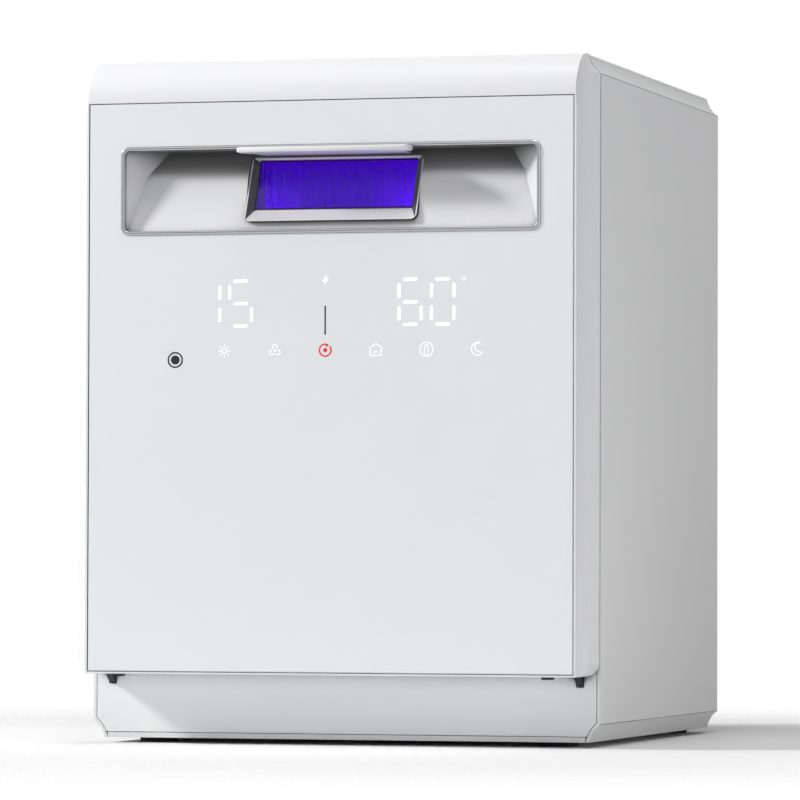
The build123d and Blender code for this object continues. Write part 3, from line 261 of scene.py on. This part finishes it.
materials_of_nodes = {
    white_shell: ("left_side_panel", "right_side_panel", "top_cover", "rear_cover"),
    white_gloss: ("base_front_panel", "front_bezel"),
    door_white: ("door_frame",),
    white_matte: ("base_tray", "filter_cover", "door_inner_panel", "drip_tray", "upper_left_rail",
                  "upper_right_rail", "lower_left_rail", "lower_right_rail"),
    recess_white: ("handle_recess",),
    window_white: ("window_frame",),
    door_glass_white: ("door_glass",),
    bright_trim: ("recess_trim",),
    liner_steel: ("chamber_liner",),
    wire_steel: ("upper_rack", "lower_rack", "bottle_pegs"),
    zinc_steel: ("foot_screws", "rear_screws", "door_screws", "striker_plates", "left_hinge_pin",
                 "right_hinge_pin", "latch_magnets", "sensor_magnet", "temperature_sensor"),
    heater_metal: ("ptc_heater",),
    black_paint: ("left_hinge_bracket", "right_hinge_bracket"),
    black_moulding: ("fan_housing", "fan_impeller", "fan_motor", "power_inlet", "door_sensor"),
    black_rubber: ("front_left_foot", "front_right_foot", "rear_left_foot", "rear_right_foot",
                   "door_stop_pads"),
    grey_silicone: ("door_gasket",),
    grey_moulding: ("air_duct", "uv_lamp_housing"),
    board_green: ("power_board", "display_board", "uv_lamp_board"),
    filter_paper: ("air_filter",),
    light_white: ("digit_modules", "light_guides"),
    pane_violet: ("window_pane", "inner_pane"),
    lamp_pane: ("lamp_cover",),
}
for material, names in materials_of_nodes.items():
    for name in names:
        nodes[name].data.materials.clear()
        nodes[name].data.materials.append(material)

# The finger pull: a plate with a rounded nose that narrows where it enters the recess. Its
# corners are in millimetres: x from the middle, y from the cabinet's front plane and z up from
# the cabinet's underside.
lip_right_half = [(44.0, -16.2), (44.0, -32.0), (50.3, -37.0), (50.5, -38.0), (50.5, -46.3),
                  (49.9, -47.8), (48.4, -48.5)]
lip_outline = lip_right_half + [(-x, y) for x, y in reversed(lip_right_half)]
lip_bottom, lip_top = 332.0, 335.0
lip_rounding = 0.0010
lip_mesh = bpy.data.meshes.new("handle_lip_plate")
lip_vertices = [(x / 1000, front_plane_y + y / 1000, underside_z + z / 1000)
                for z in (lip_bottom, lip_top) for x, y in lip_outline]
lip_count = len(lip_outline)
lip_faces = [tuple(range(lip_count)), tuple(range(2 * lip_count - 1, lip_count - 1, -1))]
for corner in range(lip_count):
    following = (corner + 1) % lip_count
    lip_faces.append((corner, corner + lip_count, following + lip_count, following))
lip_mesh.from_pydata(lip_vertices, [], lip_faces)
lip_plate = bpy.data.objects.new("handle_lip_plate", lip_mesh)
bpy.context.collection.objects.link(lip_plate)
rounding = lip_plate.modifiers.new("rounding", "BEVEL")
rounding.width = lip_rounding
rounding.segments = 4
rounding.limit_method = "ANGLE"
for face in lip_mesh.polygons:
    face.use_smooth = True
lip_mesh.materials.append(lip_white)
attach(lip_plate, "door")
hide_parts("handle_lip")


# Marks on the door's glass. Places are in millimetres: x from the middle and z up from the
# cabinet's underside.
mark_thickness = 0.00006


def flat_piece(name, vertices, faces, material, body):
    """A flat sheet, as thick as a printed mark, that rides on the body."""
    mesh = bpy.data.meshes.new(name)
    mesh.from_pydata(vertices, [], faces)
    piece = bpy.data.objects.new(name, mesh)
    bpy.context.collection.objects.link(piece)
    thick = piece.modifiers.new("thickness", "SOLIDIFY")
    thick.thickness = mark_thickness
    thick.offset = 0.0
    mesh.materials.append(material)
    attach(piece, body)


def ribbon(points, width, closed=False):
    """The corners and faces of a flat band that follows the points."""
    count = len(points)
    corners, faces = [], []
    for index, (x, z) in enumerate(points):
        before = points[index - 1] if index > 0 or closed else points[index]
        after = points[(index + 1) % count] if index < count - 1 or closed else points[index]
        start = Vector((x - before[0], z - before[1]))
        end = Vector((after[0] - x, after[1] - z))
        start = start.normalized() if start.length > 0 else end.normalized()
        end = end.normalized() if end.length > 0 else start
        along = (start + end).normalized()
        across = Vector((-along.y, along.x))
        reach = width / 2 / max(0.4, along.dot(start))
        corners.append((x + across.x * reach, z + across.y * reach))
        corners.append((x - across.x * reach, z - across.y * reach))
    last = count if closed else count - 1
    for index in range(last):
        following = (index + 1) % count
        faces.append((2 * index, 2 * index + 1, 2 * following + 1, 2 * following))
    return corners, faces


def on_circle(x, z, radius, degrees):
    """A point round a circle, in degrees from the right, anticlockwise."""
    return x + radius * cos(radians(degrees)), z + radius * sin(radians(degrees))


def circle(x, z, radius, start=0.0, turn=360.0, steps=32):
    """Points round a circle, or round a part of it."""
    spots = steps if turn >= 360 else steps + 1
    return [on_circle(x, z, radius, start + turn * step / steps) for step in range(spots)]


def mark(name, bands, material, lift=0.0):
    """One flat mark on the glass, or lifted off it. Each band is (points, width, closed), and a
    width of 0 fills the outline."""
    y = glass_y - mark_thickness / 2 - lift
    vertices, faces = [], []
    for points, width, closed in bands:
        base = len(vertices)
        if width == 0:
            corners, parts = list(points), [tuple(range(len(points)))]
        else:
            corners, parts = ribbon(points, width, closed)
        vertices += [(x / 1000, y, z / 1000 + underside_z) for x, z in corners]
        faces += [tuple(base + corner for corner in part) for part in parts]
    flat_piece(name, vertices, faces, material, "door")


# Seven-segment numbers
digit_height = 25.4
digit_width = 13.0
digit_pitch = 18.9
segment_width = 1.6
segment_gap = 2.4
digit_middle_z = 247.3
segments_of = {"0": "abcdef", "1": "bc", "5": "acdfg", "6": "acdefg"}


def segment(letter, left, middle_z):
    """One bar of a digit, with pointed ends."""
    right = left + digit_width
    top = middle_z + digit_height / 2
    bottom = middle_z - digit_height / 2
    ends = {"a": ((left, top), (right, top)), "g": ((left, middle_z), (right, middle_z)),
            "d": ((left, bottom), (right, bottom)), "f": ((left, middle_z), (left, top)),
            "b": ((right, middle_z), (right, top)), "e": ((left, bottom), (left, middle_z)),
            "c": ((right, bottom), (right, middle_z))}[letter]
    (x0, z0), (x1, z1) = ends
    along = Vector((x1 - x0, z1 - z0)).normalized()
    across = Vector((-along.y, along.x)) * segment_width / 2
    start = Vector((x0, z0)) + along * segment_gap
    end = Vector((x1, z1)) - along * segment_gap
    tip = along * segment_width * 0.35
    outline = [start - tip * 0.4, start + tip - across, end - tip - across, end + tip * 0.4,
               end - tip + across, start + tip + across]
    return [(point.x, point.y) for point in outline]


def number(name, text, right_x):
    """Digits that end at the given right bar."""
    bands = []
    for place, digit in enumerate(reversed(text)):
        left = right_x - digit_width - place * digit_pitch
        for letter in segments_of[digit]:
            bands.append((segment(letter, left, digit_middle_z), 0, True))
    mark(name, bands, digit_light)


number("timer_digits", "15", -45.3)
number("temperature_digits", "60", 73.4)

# The icons stand in a row on one height, and their lines have one width
stroke = 0.52
icon_z = 220.5


def sun_icon(x, z):
    rays = [([on_circle(x, z, 2.5, turn), on_circle(x, z, 3.8, turn)], stroke, False)
            for turn in range(0, 360, 45)]
    return [(circle(x, z, 1.5), stroke, True)] + rays


def fan_icon(x, z):
    blades = [(circle(*on_circle(x, z, 2.1, turn), 1.35, turn - 120, 260, 16), stroke, False)
              for turn in (90, 210, 330)]
    return blades + [(circle(x, z, 0.6, steps=16), 0, True)]


def cycle_icon(x, z):
    tip_x, tip_z = on_circle(x, z, 3.3, 62)
    arrow = [(tip_x - 1.5, tip_z + 1.0), (tip_x + 0.6, tip_z + 0.1), (tip_x - 1.0, tip_z - 1.2)]
    return [(circle(x, z, 3.4, 80, 320, 40), stroke * 1.6, False), (arrow, 0, True),
            (circle(x, z, 1.2, steps=20), 0, True)]


def store_icon(x, z):
    box = [(x - 3.2, z + 0.6), (x - 3.2, z - 3.2), (x + 3.2, z - 3.2), (x + 3.2, z + 0.6)]
    roof = [(x - 3.8, z + 0.9), (x, z + 3.6), (x + 3.8, z + 0.9)]
    shelf = [(x - 1.3, z - 1.2), (x + 1.3, z - 1.2)]
    return [(line, stroke, False) for line in (box, roof, shelf)]


def heat_icon(x, z):
    bulb = circle(x, z - 1.7, 1.3, 130, 280, 20)
    tube = [(x - 0.85, z - 0.7), (x - 0.85, z + 1.9), (x - 0.5, z + 2.5), (x + 0.5, z + 2.5),
            (x + 0.85, z + 1.9), (x + 0.85, z - 0.7)]
    thin = stroke * 0.8
    return [(circle(x, z, 3.9), stroke, True), (bulb, thin, False), (tube, thin, False)]


def moon_icon(x, z):
    outer = circle(x, z, 3.5, 60, 270, 30)
    inner = [on_circle(x + 1.5, z + 1.3, 2.9, turn) for turn in range(285, 95, -8)]
    return [(outer, stroke, False), (inner, stroke, False)]


# The dark line follows the middle of the trim's band, which stands off the glass
trim_front = 0.0008
trim_x, trim_bottom, trim_top = 118.6, 291.6, 332.4
trim_corners = ((trim_x, trim_top, 0), (-trim_x, trim_top, 90), (-trim_x, trim_bottom, 180),
                (trim_x, trim_bottom, 270))
trim_band = []
for corner_x, corner_z, start in trim_corners:
    trim_band += circle(corner_x, corner_z, 3.6, start, 90, 8)
mark("trim_dark_line", [(trim_band, 0.35, True)], dark_line_grey, lift=trim_front)

mark("ultraviolet_icon", sun_icon(-61.3, icon_z), icon_light)
mark("drying_icon", fan_icon(-31.4, icon_z), icon_light)
mark("automatic_icon", cycle_icon(-1.7, icon_z), red_light)
mark("storage_icon", store_icon(28.0, icon_z), icon_light)
mark("temperature_icon", heat_icon(57.5, icon_z), icon_light)
mark("night_icon", moon_icon(87.1, icon_z), icon_light)
bolt = [(-0.6, 263.6), (-3.7, 259.3), (-1.9, 259.3), (-3.0, 256.2), (0.3, 260.9),
        (-1.4, 260.9)]
mark("fast_drying_icon", [(bolt, 0, True)], icon_light)
mark("slider_line", [([(-1.8, 229.3), (-1.8, 245.7)], 0.85, False)], ink_black)
power_x, power_z = -90.6, 215.6
mark("power_mark", [(circle(power_x, power_z, 4.15, steps=48), 0.9, True),
                    (circle(power_x, power_z, 2.6, steps=40), 0, True)], ink_black)
mark("degree_mark", [(circle(79.2, 260.0, 0.9, steps=20), 0.4, True)], icon_light)

# Painted shadow lines where the side panels' scooped edges begin
shadow_line_width = 0.0004


def painted_shadow_line(name, x, z):
    """A painted shadow line that runs along the side panel, from the front plane to the cabinet's
    back.
    """
    low, high = z - shadow_line_width / 2, z + shadow_line_width / 2
    corners = [(x, front_plane_y, low), (x, cabinet_back_y, low),
               (x, cabinet_back_y, high), (x, front_plane_y, high)]
    flat_piece(name, corners, [(0, 1, 2, 3)], dark_line_grey, "cabinet")


painted_shadow_line("left_bottom_shadow_line", -side_x, cove_bottom_z)
painted_shadow_line("left_top_shadow_line", -side_x, cove_top_z)
painted_shadow_line("right_bottom_shadow_line", side_x, cove_bottom_z)
painted_shadow_line("right_top_shadow_line", side_x, cove_top_z)

# The lamp shines down into the chamber
lamp = bpy.data.lights.new("chamber_lamp", "AREA")
lamp.shape = "RECTANGLE"
lamp.size = 0.12
lamp.size_y = 0.034
lamp.energy = 0.62
lamp.color = (0.42, 0.0, 1.0)
lamp_place = bpy.data.objects.new("chamber_lamp", lamp)
lamp_place.location = (0.0, front_plane_y + 0.080, underside_z + 0.3395)
bpy.context.collection.objects.link(lamp_place)

# Floor: pale, and clear towards its edge, where the white background takes over
floor_reach = 3.0
bpy.ops.mesh.primitive_circle_add(vertices=96, radius=floor_reach, fill_type="NGON",
                                  location=(0, 0, 0))
floor = bpy.context.object
floor.name = "floor"
floor_material, floor_shader = new_material("floor_pale")
floor_links = links_of(floor_material)
floor_place = add_node(floor_material, "ShaderNodeTexCoord").outputs["Object"]
floor_grain = noise(floor_material, floor_place, 40.0)
floor_tone = shade_range(floor_material, floor_grain.outputs["Fac"], (0.90, 0.90, 0.90),
                         (0.93, 0.93, 0.93))
floor_links.new(floor_tone, floor_shader.inputs["Base Color"])
floor_shader.inputs["Roughness"].default_value = 0.7
floor_shader.inputs["Specular IOR Level"].default_value = 0.2
distance = add_node(floor_material, "ShaderNodeVectorMath", operation="LENGTH")
floor_links.new(floor_place, distance.inputs[0])
fade = mapped(floor_material, distance.outputs["Value"], 0.25, 0.75)
clear = add_node(floor_material, "ShaderNodeBsdfTransparent")
blend = add_node(floor_material, "ShaderNodeMixShader")
floor_links.new(fade, blend.inputs["Fac"])
floor_links.new(floor_shader.outputs["BSDF"], blend.inputs[1])
floor_links.new(clear.outputs["BSDF"], blend.inputs[2])
floor_output = floor_material.node_tree.nodes["Material Output"]
floor_links.new(blend.outputs["Shader"], floor_output.inputs["Surface"])
floor.data.materials.append(floor_material)

# White background, and a softer light from all round, which is stronger from below the horizon
world = bpy.data.worlds.new("studio")
bpy.context.scene.world = world
world.use_nodes = True
world_nodes = world.node_tree.nodes
world_links = links_of(world)
even = world_nodes["Background"]
even.inputs["Color"].default_value = (0.97, 0.98, 1.0, 1.0)
direction = add_node(world, "ShaderNodeTexCoord")
height = add_node(world, "ShaderNodeSeparateXYZ")
world_links.new(direction.outputs["Generated"], height.inputs["Vector"])
bounce = mapped(world, height.outputs["Z"], -0.25, 0.05, 0.70, 0.10)
world_links.new(bounce, even.inputs["Strength"])
white = add_node(world, "ShaderNodeBackground")
white.inputs["Color"].default_value = (1.0, 1.0, 1.0, 1.0)
white.inputs["Strength"].default_value = 1.0
path = add_node(world, "ShaderNodeLightPath")
either = add_node(world, "ShaderNodeMath", operation="MAXIMUM")
world_links.new(path.outputs["Is Camera Ray"], either.inputs[0])
world_links.new(path.outputs["Is Glossy Ray"], either.inputs[1])
any_of = add_node(world, "ShaderNodeMath", operation="MAXIMUM")
world_links.new(either.outputs["Value"], any_of.inputs[0])
world_links.new(path.outputs["Is Transmission Ray"], any_of.inputs[1])
choice = add_node(world, "ShaderNodeMixShader")
world_links.new(any_of.outputs["Value"], choice.inputs["Fac"])
world_links.new(even.outputs["Background"], choice.inputs[1])
world_links.new(white.outputs["Background"], choice.inputs[2])
world_links.new(choice.outputs["Shader"], world_nodes["World Output"].inputs["Surface"])


def softbox(name, place, target, size, power, mirrored=True):
    """A square lamp that faces the target. Glossy surfaces show it only if it is mirrored."""
    light = bpy.data.lights.new(name, "AREA")
    light.size = size
    light.energy = power
    holder = bpy.data.objects.new(name, light)
    holder.location = place
    aim = Vector(target) - Vector(place)
    holder.rotation_euler = aim.to_track_quat("-Z", "Y").to_euler()
    holder.visible_camera = False
    holder.visible_glossy = mirrored
    bpy.context.collection.objects.link(holder)


softbox("key_light", (-2.2, -1.0, 1.55), (0, 0, 0.2), 0.35, 62.0)
softbox("side_light", (0.62, -0.26, 0.05), (0.15, -0.20, 0.08), 0.16, 0.52, mirrored=False)
softbox("front_light", (-0.2, -3.0, 0.45), (0, 0, 0.15), 0.8, 12.0, mirrored=False)
softbox("top_light", (0.25, -0.5, 2.1), (0, 0, 0.3), 0.8, 15.0)
softbox("rear_light", (-0.4, 2.9, 0.8), (0, 0, 0.2), 0.8, 12.0, mirrored=False)

# Camera at the photograph's place and angle, from the fit to the object's corners in it
photo_width = 800
focal_length_in_pixels = 5447.564
sensor_width = 36.0
camera_place = (0.8730, -3.10605, 0.1055)
azimuth = radians(15.761)
pitch = radians(1.679)
roll = radians(0.165)
ahead = Vector((-sin(azimuth) * cos(pitch), cos(azimuth) * cos(pitch), sin(pitch)))
level = Vector((cos(azimuth), sin(azimuth), 0.0))
upward = level.cross(ahead)
right = level * cos(roll) + upward * sin(roll)
up = upward * cos(roll) - level * sin(roll)
camera_data = bpy.data.cameras.new("camera")
camera_data.sensor_width = sensor_width
camera_data.lens = sensor_width * focal_length_in_pixels / photo_width
camera_data.clip_end = 60.0
camera = bpy.data.objects.new("camera", camera_data)
axes = Matrix((right, up, -ahead)).transposed().to_4x4()
camera.matrix_world = Matrix.Translation(camera_place) @ axes
bpy.context.collection.objects.link(camera)
bpy.context.scene.camera = camera
bpy.context.scene.view_settings.view_transform = "Standard"
